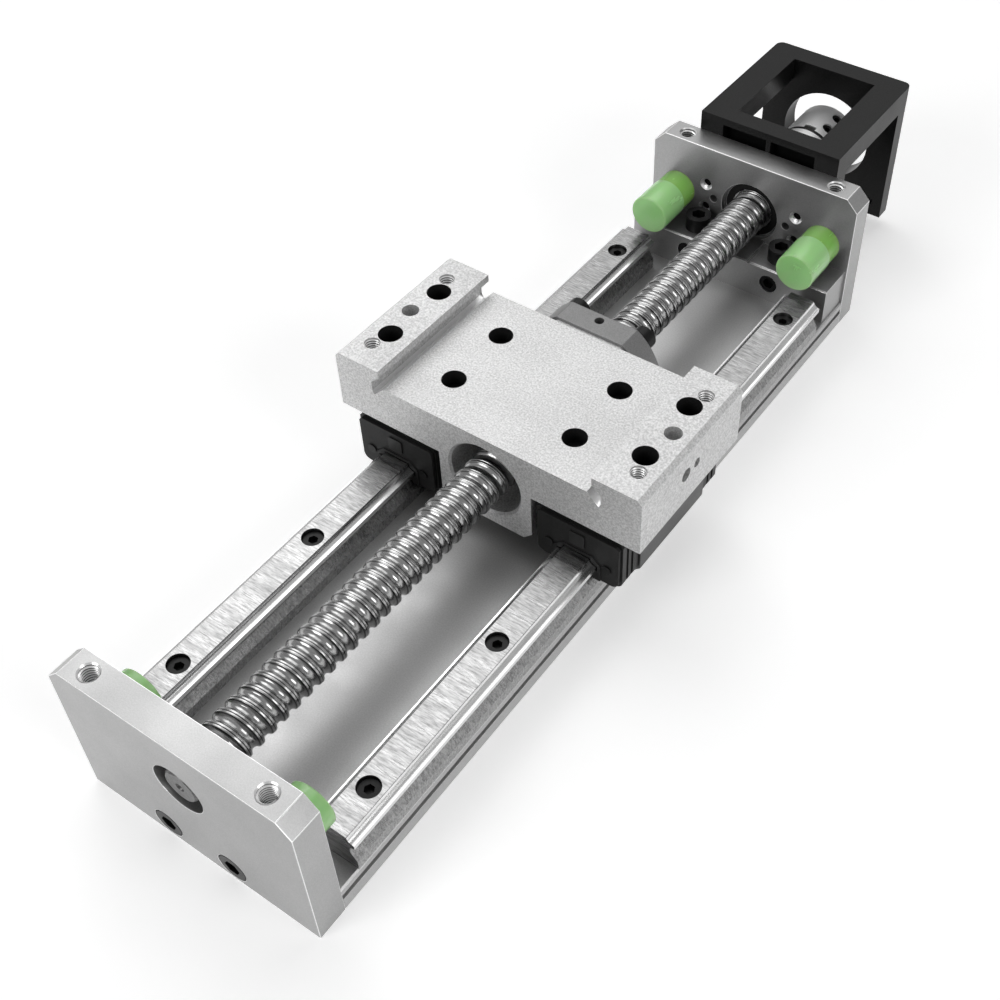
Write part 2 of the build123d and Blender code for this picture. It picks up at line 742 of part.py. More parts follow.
def lip_section():
    """Outline of the raised lip of a seal, round the upper part of the rail."""
    width = running_gap + seal_lip_width
    half = rail_width / 2 + width
    with BuildSketch() as outline:
        with BuildLine():
            Polyline((0, 0), (half, 0), (half, rail_land_top + width / 2),
                     (rail_top_half + width / 2, rail_height + width), (0, rail_height + width), close=True)
        make_face()
        mirror(about=Plane.YZ)
    return outline.sketch


for name, side in sides.items():
    centre = side * rail_gauge / 2
    with BuildPart() as block:
        with BuildSketch(facing_front(rest_offset - body_half)) as outline:
            with Locations((centre, (block_top + block_bottom) / 2)):
                Rectangle(block_width, block_top - block_bottom)
            chamfer(outline.vertices().group_by(Axis.Y)[0], block_bevel)
            chamfer(outline.vertices().group_by(Axis.Y)[-1], base_edge)
            with Locations((centre, rail_seat)):
                add(rail_section(block_clearance), mode=Mode.SUBTRACT)
        extrude(amount=-block_body_length)
        with BuildSketch(Plane.XY.offset(block_top)):
            with Locations((centre, rest_offset)):
                with GridLocations(block_hole_spacing, block_hole_spacing, 2, 2):
                    Circle(m4_radius)
        extrude(amount=-block_hole_depth, mode=Mode.SUBTRACT)
    save(block.part, f"block_body_{name}")
    for end, direction in (("front", -1), ("back", 1)):
        cap_face = rest_offset + direction * body_half
        groove_spots = [(centre + edge, cap_face + direction * (cap_length - n * cap_groove_pitch))
                        for edge in (-cap_half_width, cap_half_width) for n in (1, 2)]
        with BuildPart() as end_cap:
            with BuildSketch(facing_front(cap_face)):
                with Locations((centre, cap_middle)):
                    add(cap_outline(0))
                with Locations((centre, rail_seat)):
                    add(rail_section(block_clearance), mode=Mode.SUBTRACT)
            extrude(amount=-direction * cap_length)
            with BuildSketch(Plane.XY.offset(cap_bottom)):
                with Locations(*groove_spots):
                    Rectangle(2 * cap_groove_depth, cap_groove_width)
            extrude(amount=cap_height, mode=Mode.SUBTRACT)
        save(end_cap.part, f"block_cap_{name}_{end}")

with BuildPart() as seals:
    for side in sides.values():
        centre = side * rail_gauge / 2
        for direction in (-1, 1):
            with BuildSketch(facing_front(rest_offset + direction * (body_half + cap_length))):
                with Locations((centre, cap_middle)):
                    add(cap_outline(seal_plate_inset))
                with Locations((centre, rail_seat)):
                    add(rail_section(running_gap), mode=Mode.SUBTRACT)
            extrude(amount=-direction * seal_plate_thickness)
            with BuildSketch(facing_front(rest_offset + direction * block_half)):
                with Locations((centre, rail_seat)):
                    add(lip_section())
                with Locations((centre, cap_middle)):
                    add(cap_outline(seal_plate_inset), mode=Mode.INTERSECT)
                with Locations((centre, rail_seat)):
                    add(rail_section(running_gap), mode=Mode.SUBTRACT)
            extrude(amount=-direction * seal_lip_height)
save(seals.part, "block_end_seals")

with BuildPart() as cap_screws:
    for side in sides.values():
        for direction in (-1, 1):
            with BuildSketch(facing_front(rest_offset + direction * block_half)):
                with Locations(*[(side * rail_gauge / 2 + dx, cap_screw_level)
                                 for dx in (-cap_screw_x, cap_screw_x)]):
                    Circle(cap_screw_radius)
            extrude(amount=-direction * cap_screw_head)
save(cap_screws.part, "block_cap_screws")

with BuildPart() as plugs:
    for side in sides.values():
        for direction in (-1, 1):
            with BuildSketch(facing_front(rest_offset + direction * block_half)) as outline:
                with Locations((side * rail_gauge / 2, plug_level)):
                    Rectangle(plug_size, plug_size)
                fillet(outline.vertices(), plug_round)
            extrude(amount=-direction * plug_height)
save(plugs.part, "block_grease_plugs")

# Saddle: top with two raised strips, undercut channels and the nut web below
half_saddle = saddle_width / 2
flange_near = carriage_back + nut_seat_height
flange_far = flange_near + flange_thickness
with BuildPart() as saddle:
    with BuildSketch(facing_front(carriage_front)):
        with BuildLine():
            Polyline(
                (0, platform_level), (platform_half, platform_level), (channel_floor_x, channel_floor_level),
                (channel_outer_x, channel_side_bottom), (channel_outer_x, channel_side_top),
                (channel_lip_x, channel_lip_level), (channel_lip_x, saddle_top),
                (half_saddle - saddle_chamfer, saddle_top), (half_saddle, saddle_top - saddle_chamfer),
                (half_saddle, block_top), (web_half_width, block_top),
                (web_half_width, web_bottom + web_chamfer), (web_half_width - web_chamfer, web_bottom),
                (0, web_bottom), close=True)
        make_face()
        mirror(about=Plane.YZ)
    extrude(amount=-saddle_length)
    with BuildSketch(facing_front(carriage_back)):
        with Locations((0, screw_height)):
            Circle(flange_radius - nut_seat_inset)
            Rectangle(2 * web_half_width, flange_flats - 2 * nut_seat_inset, mode=Mode.INTERSECT)
    extrude(amount=-nut_seat_height)
    with BuildSketch(facing_front(carriage_front)):
        with Locations((0, screw_height)):
            Circle(nut_radius + fit_gap)
    extrude(amount=-(saddle_length + nut_seat_height), mode=Mode.SUBTRACT)
    bore_edge = saddle.edges().filter_by(GeomType.CIRCLE).sort_by(Axis.Y)[0]
    chamfer(bore_edge, nut_bore_bevel)
    block_screw_spots = [(side * rail_gauge / 2 + dx, rest_offset + dy) for side in sides.values()
                         for dx in (-block_hole_spacing / 2, block_hole_spacing / 2)
                         for dy in (-block_hole_spacing / 2, block_hole_spacing / 2)]
    with BuildSketch(Plane.XY.offset(block_top)):
        with Locations(*block_screw_spots):
            Circle(saddle_hole_radius)
    extrude(amount=saddle_seat, mode=Mode.SUBTRACT)
    with BuildSketch(Plane.XY.offset(block_top + saddle_seat)):
        with Locations(*block_screw_spots):
            Circle(saddle_bore_radius)
    extrude(amount=saddle_top - block_top - saddle_seat, mode=Mode.SUBTRACT)
    with BuildSketch(Plane.XY.offset(saddle_top)):
        with Locations((-pin_hole_x, rest_offset), (pin_hole_x, rest_offset)):
            Circle(pin_hole_radius)
    extrude(amount=-pin_hole_depth, mode=Mode.SUBTRACT)
    tap_spots = [(side * saddle_tap_x, rest_offset + dy) for side in sides.values()
                 for dy in (-saddle_tap_y, saddle_tap_y)]
    with BuildSketch(Plane.XY.offset(saddle_top)):
        with Locations(*tap_spots):
            Circle(m6_tap_radius)
    extrude(amount=-saddle_tap_depth, mode=Mode.SUBTRACT)
    flange_spots = [(flange_hole_circle * cos(radians(a)), screw_height + flange_hole_circle * sin(radians(a)))
                    for a in (45, 135, 225, 315)]
    with BuildSketch(facing_front(flange_near)):
        with Locations(*flange_spots):
            Circle(m5_radius)
    extrude(amount=flange_screw_length - flange_thickness, mode=Mode.SUBTRACT)
    with BuildSketch(Plane.YZ.offset(half_saddle)):
        with Locations((rest_offset + grease_offset, grease_level)):
            Circle(grease_hole_radius)
        with Locations((rest_offset + vent_offset, grease_level)):
            Circle(vent_hole_radius)
    extrude(amount=-side_hole_depth, mode=Mode.SUBTRACT)
save(saddle.part, "saddle")

m4_block_screw = cap_screw(m4_radius, saddle_seat + block_hole_depth, m4_head_radius, m4_head_height, m4_socket)
save(group(m4_block_screw, [(x, y, block_top + saddle_seat) for x, y in block_screw_spots]), "block_screws")

# Ball nut with its flange, wipers and flange screws
nut_near = flange_far - nut_length
with BuildPart() as ball_nut:
    with BuildSketch(facing_front(nut_near)):
        with Locations((0, screw_height)):
            Circle(nut_radius)
    extrude(amount=-nut_length)
    with BuildSketch(facing_front(flange_near)):
        with Locations((0, screw_height)):
            Circle(flange_radius)
            Rectangle(2 * flange_radius, flange_flats, mode=Mode.INTERSECT)
    extrude(amount=-flange_thickness)
    far_edges = ball_nut.edges().group_by(Axis.Y)[-1]
    chamfer(far_edges, flange_bevel)
    with BuildSketch(facing_front(nut_near)):
        with Locations((0, screw_height)):
            Circle(screw_radius + running_gap)
    extrude(amount=-nut_length, mode=Mode.SUBTRACT)
    for y, inward in ((nut_near, -1), (flange_far, 1)):
        with BuildSketch(facing_front(y)):
            with Locations((0, screw_height)):
                Circle(wiper_radius)
        extrude(amount=inward * wiper_width, mode=Mode.SUBTRACT)
    with BuildSketch(facing_front(flange_near)):
        with Locations(*flange_spots, (-flange_hole_circle, screw_height), (flange_hole_circle, screw_height)):
            Circle(flange_hole_radius)
    extrude(amount=-flange_thickness, mode=Mode.SUBTRACT)
    with BuildSketch(Plane.XY.offset(screw_height + flange_flats / 2)):
        with Locations((0, flange_near + oil_hole_setback)):
            Circle(oil_hole_radius)
    extrude(amount=-oil_hole_depth, mode=Mode.SUBTRACT)
save(ball_nut.part, "ball_nut")

wiper_bore = screw_radius + running_gap
with BuildPart() as wipers:
    add(ring(nut_near, nut_near + wiper_width, wiper_bore, wiper_radius))
    add(ring(flange_far - wiper_width, flange_far, wiper_bore, wiper_radius))
save(wipers.part, "nut_wipers")

m5_flange_screw = cap_screw(m5_radius, flange_screw_length, m5_head_radius, m5_head_height, m5_socket)
save(group(m5_flange_screw, [Location((x, flange_far, z), (-90, 0, 0)) for x, z in flange_spots]),
     "nut_flange_screws")
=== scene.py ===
import bpy
import bmesh
import json
from math import pi, radians
from mathutils import Matrix, Vector


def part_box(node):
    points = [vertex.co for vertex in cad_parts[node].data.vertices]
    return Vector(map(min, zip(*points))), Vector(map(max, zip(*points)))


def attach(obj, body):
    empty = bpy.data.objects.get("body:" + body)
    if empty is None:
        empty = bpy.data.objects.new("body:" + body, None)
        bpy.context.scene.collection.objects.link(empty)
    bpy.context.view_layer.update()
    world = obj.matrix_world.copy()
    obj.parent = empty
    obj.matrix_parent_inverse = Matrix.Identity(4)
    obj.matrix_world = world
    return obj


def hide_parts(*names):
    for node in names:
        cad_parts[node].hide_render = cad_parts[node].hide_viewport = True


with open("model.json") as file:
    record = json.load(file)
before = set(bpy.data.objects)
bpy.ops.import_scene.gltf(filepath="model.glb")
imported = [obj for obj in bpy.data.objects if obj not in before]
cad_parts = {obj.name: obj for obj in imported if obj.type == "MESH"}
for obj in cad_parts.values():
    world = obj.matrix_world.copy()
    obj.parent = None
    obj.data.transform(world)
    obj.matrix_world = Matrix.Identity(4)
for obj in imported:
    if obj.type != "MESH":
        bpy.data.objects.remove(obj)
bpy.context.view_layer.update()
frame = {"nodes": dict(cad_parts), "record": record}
nodes = frame["nodes"]
mm = 0.001
upward = Vector((0, 0, 1))
screwAxis = Vector((0, 1, 0))
forward = Vector((0, -1, 0))

# the camera stands where the photograph was taken from
cameraView = {
    "place": (0.19972, -0.26277, 0.37075),
    "right": (0.825402, 0.564533, -0.003852),
    "up": (-0.407845, 0.600999, 0.687360),
    "back": (0.390352, -0.565777, 0.726307),
    "sensor": 36, "lens": 50.597,
    "shift": (-0.07209, -0.03407),
    "nearest": 0.01,
}


def makeCamera():
    data = bpy.data.cameras.new("photoCamera")
    data.sensor_width = cameraView["sensor"]
    data.lens = cameraView["lens"]
    data.shift_x, data.shift_y = cameraView["shift"]
    data.clip_start = cameraView["nearest"]
    camera = bpy.data.objects.new("photoCamera", data)
    turn = Matrix((cameraView["right"], cameraView["up"], cameraView["back"])).transposed()
    camera.matrix_world = Matrix.Translation(cameraView["place"]) @ turn.to_4x4()
    bpy.context.collection.objects.link(camera)
    bpy.context.scene.camera = camera


makeCamera()
print("camera placed")


# shader helpers

def grey(value):
    return (value, value, value)


def newGroup(name, inputs, outputs):
    group = bpy.data.node_groups.new(name, "ShaderNodeTree")
    for label, kind, value in inputs:
        socket = group.interface.new_socket(label, in_out="INPUT", socket_type=kind)
        if value is not None:
            socket.default_value = value
    for label, kind in outputs:
        group.interface.new_socket(label, in_out="OUTPUT", socket_type=kind)
    return group, group.nodes.new("NodeGroupInput"), group.nodes.new("NodeGroupOutput")


def addMath(tree, operation, *values, clamp=False):  # each value is a number or a socket
    node = tree.nodes.new("ShaderNodeMath")
    node.operation = operation
    node.use_clamp = clamp
    for socket, value in zip(node.inputs, values):
        if isinstance(value, (int, float)):
            socket.default_value = value
        else:
            tree.links.new(value, socket)
    return node.outputs[0]


def addNoise(tree, vector, scale, detail, roughness):
    node = tree.nodes.new("ShaderNodeTexNoise")
    node.inputs["Detail"].default_value = detail
    node.inputs["Roughness"].default_value = roughness
    tree.links.new(vector, node.inputs["Vector"])
    tree.links.new(scale, node.inputs["Scale"])
    return node.outputs["Fac"]


def addRange(tree, value, start, end, low=0.0, high=1.0):  # low at start, high at end
    node = tree.nodes.new("ShaderNodeMapRange")
    for label, level in (("From Min", start), ("From Max", end), ("To Min", low), ("To Max", high)):
        node.inputs[label].default_value = level
    tree.links.new(value, node.inputs["Value"])
    return node.outputs["Result"]


def addMix(tree, share, first, second):  # each colour is red, green and blue, or a socket
    node = tree.nodes.new("ShaderNodeMix")
    node.data_type = "RGBA"
    for label, colour in (("A", first), ("B", second)):
        if isinstance(colour, tuple):
            node.inputs[label].default_value = (*colour, 1)
        else:
            tree.links.new(colour, node.inputs[label])
    tree.links.new(share, node.inputs["Factor"])
    return node.outputs["Result"]


grainLook = {"scale": 2000.0, "speckle": (3.0, 0.65), "cloudScale": 45.0, "cloud": (3.0, 0.55)}
brushLook = {"scale": 400.0, "marks": (4.0, 0.7), "bandShare": 0.2, "bands": (2.0, 0.5)}


def makeGrainGroup():  # fine speckle with a slow cloud under it
    group, start, end = newGroup(
        "surfaceGrain",
        [("Vector", "NodeSocketVector", None), ("Scale", "NodeSocketFloat", grainLook["scale"]),
         ("Cloud Scale", "NodeSocketFloat", grainLook["cloudScale"])],
        [("Speckle", "NodeSocketFloat"), ("Cloud", "NodeSocketFloat")])
    place = start.outputs["Vector"]
    speckle = addNoise(group, place, start.outputs["Scale"], *grainLook["speckle"])
    cloud = addNoise(group, place, start.outputs["Cloud Scale"], *grainLook["cloud"])
    group.links.new(speckle, end.inputs["Speckle"])
    group.links.new(cloud, end.inputs["Cloud"])
    return group


def makeBrushGroup():  # long scratches: noise squeezed hard in one direction
    group, start, end = newGroup(
        "brushMarks",
        [("Vector", "NodeSocketVector", None), ("Stretch", "NodeSocketVector", (1.0, 1.0, 1.0)),
         ("Scale", "NodeSocketFloat", brushLook["scale"])],
        [("Marks", "NodeSocketFloat"), ("Bands", "NodeSocketFloat")])
    squeeze = group.nodes.new("ShaderNodeVectorMath")
    squeeze.operation = "MULTIPLY"
    group.links.new(start.outputs["Vector"], squeeze.inputs[0])
    group.links.new(start.outputs["Stretch"], squeeze.inputs[1])
    marks = addNoise(group, squeeze.outputs[0], start.outputs["Scale"], *brushLook["marks"])
    wide = addMath(group, "MULTIPLY", start.outputs["Scale"], brushLook["bandShare"])
    bands = addNoise(group, squeeze.outputs[0], wide, *brushLook["bands"])
    group.links.new(marks, end.inputs["Marks"])
    group.links.new(bands, end.inputs["Bands"])
    return group


grainGroup = makeGrainGroup()
brushGroup = makeBrushGroup()
noiseSpans = {"colour": (0.35, 0.65), "roughness": (0.3, 0.7)}  # the stretch of the noise that is used
bumpHeight = 0.1 * mm


def newMaterial(name):
    material = bpy.data.materials.new(name)
    material.use_nodes = True
    tree = material.node_tree
    shader = tree.nodes["Principled BSDF"]
    place = tree.nodes.new("ShaderNodeTexCoord").outputs["Object"]
    return material, tree, shader, place


def varyColour(tree, mask, dark, light, shader):
    share = addRange(tree, mask, *noiseSpans["colour"])
    tree.links.new(addMix(tree, share, grey(dark), grey(light)), shader.inputs["Base Color"])


def varyRoughness(tree, mask, smooth, rough, shader):
    level = addRange(tree, mask, *noiseSpans["roughness"], smooth, rough)
    tree.links.new(level, shader.inputs["Roughness"])


def addBump(tree, height, strength, shader):
    bump = tree.nodes.new("ShaderNodeBump")
    bump.inputs["Strength"].default_value = strength
    bump.inputs["Distance"].default_value = bumpHeight
    tree.links.new(height, bump.inputs["Height"])
    tree.links.new(bump.outputs["Normal"], shader.inputs["Normal"])


def placeGroup(tree, group, place, **values):
    node = tree.nodes.new("ShaderNodeGroup")
    node.node_tree = group
    tree.links.new(place, node.inputs["Vector"])
    for label, value in values.items():
        node.inputs[label].default_value = value
    return node


def grainedMetal(name, dark, light, smooth, rough, scale, bump, metallic):
    material, tree, shader, place = newMaterial(name)
    shader.inputs["Metallic"].default_value = metallic
    grain = placeGroup(tree, grainGroup, place, Scale=scale)
    varyColour(tree, grain.outputs["Speckle"], dark, light, shader)
    varyRoughness(tree, grain.outputs["Cloud"], smooth, rough, shader)
    addBump(tree, grain.outputs["Speckle"], bump, shader)
    return material


def brushedMetal(name, dark, light, smooth, rough, scale, bump, stretch):
    material, tree, shader, place = newMaterial(name)
    shader.inputs["Metallic"].default_value = 1.0
    brush = placeGroup(tree, brushGroup, place, Stretch=stretch, Scale=scale)
    varyColour(tree, brush.outputs["Marks"], dark, light, shader)
    varyRoughness(tree, brush.outputs["Bands"], smooth, rough, shader)
    addBump(tree, brush.outputs["Marks"], bump, shader)
    return material


grainedLooks = {  # name, darkest and lightest grey, least and most roughness, scale, bump, metallic
    "plate": ("milledAluminium", 0.37, 0.44, 0.32, 0.44, 2600.0, 0.12, 0.9),
    "base": ("basePlateAluminium", 0.46, 0.54, 0.42, 0.54, 2000.0, 0.06, 0.9),
    # bright finish for bevels and chamfers, partly a painted highlight, and a painted highlight on lit thread
    # flanks and the saddle's channels
    "edge": ("cutEdgeAndHighlight", 0.88, 0.95, 0.26, 0.34, 2000.0, 0.05, 0.85),
    "journal": ("turnedSteel", 0.09, 0.17, 0.30, 0.42, 1400.0, 0.15, 1.0),
    "saddle": ("blastedAluminium", 0.51, 0.80, 0.50, 0.60, 1500.0, 0.4, 0.7),
    "blockSteel": ("darkSteel", 0.075, 0.11, 0.34, 0.46, 2200.0, 0.15, 1.0),
    "nut": ("nutSteel", 0.20, 0.26, 0.42, 0.54, 2200.0, 0.15, 0.7),
    "blackScrews": ("blackOxide", 0.004, 0.010, 0.28, 0.42, 2500.0, 0.12, 0.1),
    "caps": ("mouldedCap", 0.006, 0.011, 0.36, 0.50, 1800.0, 0.2, 0.0),
    # painted shade on thread flanks that face down and on the counterbore walls of the saddle
    "threadShade": ("paintedThreadShade", 0.02, 0.04, 0.4, 0.5, 2000.0, 0.05, 0.5),
    "rubber": ("sealRubber", 0.005, 0.010, 0.5, 0.65, 1500.0, 0.2, 0.0),
    "bracket": ("anodisedBracket", 0.004, 0.009, 0.28, 0.38, 2200.0, 0.2, 0.0),
    "coupling": ("mattCoupling", 0.86, 0.93, 0.42, 0.52, 2200.0, 0.12, 0.7),
}
brushedLooks = {  # name, darkest and lightest grey, least and most roughness, scale, bump, stretch
    "rail": ("groundRail", 0.20, 0.44, 0.20, 0.38, 1000.0, 0.3, (0.22, 1.6, 1.0)),
    # painted highlight: the rail's raceways far brighter than the rail
    "raceway": ("racewayHighlight", 0.70, 0.85, 0.16, 0.26, 900.0, 0.05, (1.0, 0.1, 1.0)),
    "screw": ("polishedScrew", 0.32, 0.46, 0.14, 0.26, 300.0, 0.12, (1.0, 4.0, 1.0)),
    "bearing": ("bearingSteel", 0.5, 0.6, 0.18, 0.28, 600.0, 0.05, (1.0, 1.0, 1.0)),
}
dullShine = {"bracket": 0.18, "blackScrews": 0.22, "caps": 0.3, "rubber": 0.3}

finishes = {finish: grainedMetal(*look) for finish, look in grainedLooks.items()}
for finish, look in brushedLooks.items():
    finishes[finish] = brushedMetal(*look)
for finish, level in dullShine.items():
    shader = finishes[finish].node_tree.nodes["Principled BSDF"]
    shader.inputs["Specular IOR Level"].default_value = level


# axis level, and the radius, spread and grey of the painted shade lines on the screw
screwLook = {"axisLevel": 36.5, "shoulder": 7.70, "spread": 0.27, "shade": 0.05}


def paintShoulderShade(material):  # painted shade: dark lines where the ball groove meets the land, by distance from the axis
    tree = material.node_tree
    shader = tree.nodes["Principled BSDF"]
    colour = shader.inputs["Base Color"].links[0].from_socket
    split = tree.nodes.new("ShaderNodeSeparateXYZ")
    tree.links.new(tree.nodes.new("ShaderNodeTexCoord").outputs["Object"], split.inputs[0])
    rise = addMath(tree, "SUBTRACT", split.outputs["Z"], screwLook["axisLevel"] * mm)
    across = addMath(tree, "MULTIPLY", split.outputs["X"], split.outputs["X"])
    distance = addMath(tree, "SQRT", addMath(tree, "MULTIPLY_ADD", rise, rise, across))
    gap = addMath(tree, "ABSOLUTE", addMath(tree, "SUBTRACT", distance, screwLook["shoulder"] * mm))
    share = addMath(tree, "DIVIDE", gap, screwLook["spread"] * mm, clamp=True)
    shaded = addMix(tree, share, grey(screwLook["shade"]), colour)
    tree.links.new(shaded, shader.inputs["Base Color"])


paintShoulderShade(finishes["screw"])


bumperLook = {
    "front": (0.50, 1.0, 0.38), "rear": (0.36, 0.78, 0.16), "mirrored": (0.40, 0.42, 0.40),
    "bandStart": 141.6, "bandEnd": 142.2,
    "streakScale": 260.0, "streakStretch": (1.0, 0.25, 1.0), "smooth": 0.10, "rough": 0.30,
    "transmission": 0.15, "refraction": 1.48, "coat": 0.3,
    "subsurface": 0.6, "subsurfaceRadius": (0.6, 1.0, 0.5), "subsurfaceScale": 0.006,
}


def makeBumperMaterial():  # yellower at the plate, and metal beside it mirrors it as a pale grey
    material, tree, shader, place = newMaterial("greenElastomer")
    split = tree.nodes.new("ShaderNodeSeparateXYZ")
    tree.links.new(place, split.inputs[0])
    depth = addRange(tree, split.outputs["Y"], bumperLook["bandStart"] * mm, bumperLook["bandEnd"] * mm)
    band = addMix(tree, depth, bumperLook["front"], bumperLook["rear"])
    path = tree.nodes.new("ShaderNodeLightPath")
    bounced = addMath(tree, "MAXIMUM", path.outputs["Is Glossy Ray"], path.outputs["Is Diffuse Ray"])
    colour = addMix(tree, bounced, band, bumperLook["mirrored"])
    tree.links.new(colour, shader.inputs["Base Color"])
    streaks = placeGroup(tree, brushGroup, place, Stretch=bumperLook["streakStretch"],
                         Scale=bumperLook["streakScale"])
    varyRoughness(tree, streaks.outputs["Marks"], bumperLook["smooth"], bumperLook["rough"], shader)
    shader.inputs["Transmission Weight"].default_value = bumperLook["transmission"]
    shader.inputs["IOR"].default_value = bumperLook["refraction"]
    shader.inputs["Subsurface Weight"].default_value = bumperLook["subsurface"]
    shader.inputs["Subsurface Radius"].default_value = bumperLook["subsurfaceRadius"]
    shader.inputs["Subsurface Scale"].default_value = bumperLook["subsurfaceScale"]
    shader.inputs["Coat Weight"].default_value = bumperLook["coat"]
    return material


finishes["bumper"] = makeBumperMaterial()
print("finishes made:", len(finishes))


# piece helpers

cutAndHighlightIndex = 1  # material index of the bright finish: cut bevels and chamfers, partly a painted highlight, and painted highlights on lit faces
shadeIndex = 2  # and of faces with painted shade, where a thread or a counterbore lies in shade
weldDistance = 2e-6
planeSlack = 1e-7
flatAngle = 0.6
flatWeight = 80


def finishPiece(name, bm, material, body, replaced, smoothAngle=32.0, others=()):
    for face in bm.faces:
        face.smooth = True
    limit = radians(smoothAngle)
    for edge in bm.edges:
        edge.smooth = len(edge.link_faces) != 2 or edge.calc_face_angle(0) < limit
    mesh = bpy.data.meshes.new(name)
    bm.to_mesh(mesh)
    bm.free()
    for finish in (material, *others):
        mesh.materials.append(finish)
    piece = bpy.data.objects.new(name, mesh)
    bpy.context.collection.objects.link(piece)
    weighted = piece.modifiers.new("flatFaces", "WEIGHTED_NORMAL")
    weighted.keep_sharp = True
    weighted.weight = flatWeight
    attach(piece, body)
    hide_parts(*replaced)


def nodeShape(node):  # merged copy of a CAD node, with its flat faces joined
    bm = bmesh.new()
    bm.from_mesh(nodes[node].data)
    bmesh.ops.remove_doubles(bm, verts=bm.verts, dist=weldDistance)
    bmesh.ops.dissolve_limit(bm, angle_limit=radians(flatAngle), verts=bm.verts, edges=bm.edges)
    return bm


def joinInto(bm, other):  # the other bmesh is freed
    mesh = bpy.data.meshes.new("joining")
    other.to_mesh(mesh)
    other.free()
    bm.from_mesh(mesh)
    bpy.data.meshes.remove(mesh)


def cutPlane(bm, place, normal, clear=False):
    bmesh.ops.bisect_plane(bm, geom=bm.verts[:] + bm.edges[:] + bm.faces[:], dist=planeSlack,
                           plane_co=place, plane_no=normal, clear_outer=clear)


bevelStyle = {"segments": 2, "profile": 0.5, "creaseAngle": 25.0}
slack = {  # how far off its true place a vertex may be and still be taken, in mm
    "bevelRim": 0.06, "wall": 0.04, "aboveWall": 0.2, "sinkLevel": 0.02, "sinkRim": 0.05,
}


def onRim(edge, rims):  # true for an edge on the rim of one of these (centre, radius) holes
    reach = slack["bevelRim"] * mm
    return any(all(abs((v.co - c).length - r) < reach for v in edge.verts) for c, r in rims)


def bevelCreases(bm, width, material, rims):
    limit = radians(bevelStyle["creaseAngle"])
    creases = [e for e in bm.edges if len(e.link_faces) == 2 and e.calc_face_angle(0) > limit
               and not any(f.material_index for f in e.link_faces) and not onRim(e, rims)]
    bmesh.ops.bevel(bm, geom=creases, offset=width, offset_type="OFFSET", segments=bevelStyle["segments"],
                    profile=bevelStyle["profile"], affect="EDGES", clamp_overlap=True, material=material)


# tapped holes

tapSizes = {  # radii of the drilled hole, the crests and the roots, and the pitch
    "m6": {"drill": 2.5, "crest": 2.5, "root": 3.0, "pitch": 1.0},
    "m6close": {"drill": 2.5, "crest": 2.42, "root": 2.76, "pitch": 1.0},
    "m4": {"drill": 2.0, "crest": 1.66, "root": 2.0, "pitch": 0.7},
}
coilSizes = {  # the flanks start and end at these shares of the pitch
    "flanks": (0.06, 0.36, 0.64, 0.94), "steps": 28, "bite": 0.02, "runOut": 1.0, "litFlank": 0.3,
}
sinkWall = 0.1  # a face is a hole's wall when its normal leans less than this along the axis


def widenHole(bm, centre, axis, radius, newRadius, depth):  # makes room for a thread
    for vert in bm.verts:
        offset = vert.co - centre
        along = offset.dot(axis)
        radial = offset - axis * along
        onWall = abs(radial.length - radius) < slack["wall"] * mm
        if onWall and -depth < along < slack["aboveWall"] * mm:
            vert.co += radial.normalized() * (newRadius - radius)


def threadCoil(centre, axis, crest, root, pitch, length):  # a wedge wound down the hole
    side = Vector((1, 0, 0))
    steps = coilSizes["steps"]
    turns = int(length / pitch)
    bm = bmesh.new()
    rim = [bm.verts.new(centre - axis * (share * pitch) + side * radius)
           for share, radius in zip(coilSizes["flanks"], (root, crest, crest, root))]
    edges = [bm.edges.new((rim[i], rim[(i + 1) % 4])) for i in range(4)]
    bmesh.ops.spin(bm, geom=rim + edges, cent=centre, axis=axis, angle=-2 * pi * turns,
                   dvec=-axis * (pitch / steps), steps=steps * turns, use_merge=False)
    ends = [e for e in bm.edges if len(e.link_faces) == 1]
    bmesh.ops.holes_fill(bm, edges=ends, sides=4)
    bmesh.ops.recalc_face_normals(bm, faces=bm.faces)
    return bm


def countersink(bm, places, axis, radius, width):  # a chamfer on the rims of these holes, in the bright finish: partly a painted highlight
    cutPlane(bm, places[0] - axis * width, axis)
    for place in places:
        rim = set()
        for vert in bm.verts:
            offset = vert.co - place
            level = abs(offset.dot(axis)) < slack["sinkLevel"] * mm
            if level and abs(offset.length - radius) < slack["sinkRim"] * mm:
                rim.add(vert)
        for vert in rim:
            vert.co += (vert.co - place).normalized() * width
        for face in bm.faces:
            on = sum(vert in rim for vert in face.verts)
            if on == 2 and abs(face.normal.dot(axis)) < sinkWall:
                face.material_index = cutAndHighlightIndex
    bm.normal_update()


def tappedHoles(bm, places, axis, size, taps):  # opens the holes and returns their threads
    drill, crest, root, pitch = (value * mm for value in tapSizes[size].values())
    depth = taps["depth"] * mm
    coils = bmesh.new()
    for place in places:
        if drill < root:
            widenHole(bm, place, axis, drill, root, depth + coilSizes["runOut"] * mm)
        top = place - axis * taps["start"] * mm
        joinInto(coils, threadCoil(top, axis, crest, root + coilSizes["bite"] * mm, pitch, depth))
    if taps["sink"]:
        countersink(bm, places, axis, root, taps["sink"] * mm)
    # painted light on the thread: flanks facing up get the bright finish as a painted highlight, the rest
    # painted shade
    for face in coils.faces:
        lit = face.normal.dot(axis) > coilSizes["litFlank"]
        face.material_index = cutAndHighlightIndex if lit else shadeIndex
    return coils


def patternPlaces(mountName):  # centres of the holes of one mount, from the record
    mount = next(m for m in frame["record"]["mounts"] if m["name"] == mountName)
    middle = Vector(mount["pos_m"])
    dims = mount["dims"]
    x = dims["spacing_x_mm"] / 2 * mm
    y = dims.get("spacing_y_mm", 0) / 2 * mm
    rows = (-y, y) if y else (0,)
    return [middle + Vector((dx, dy, 0)) for dx in (-x, x) for dy in rows]


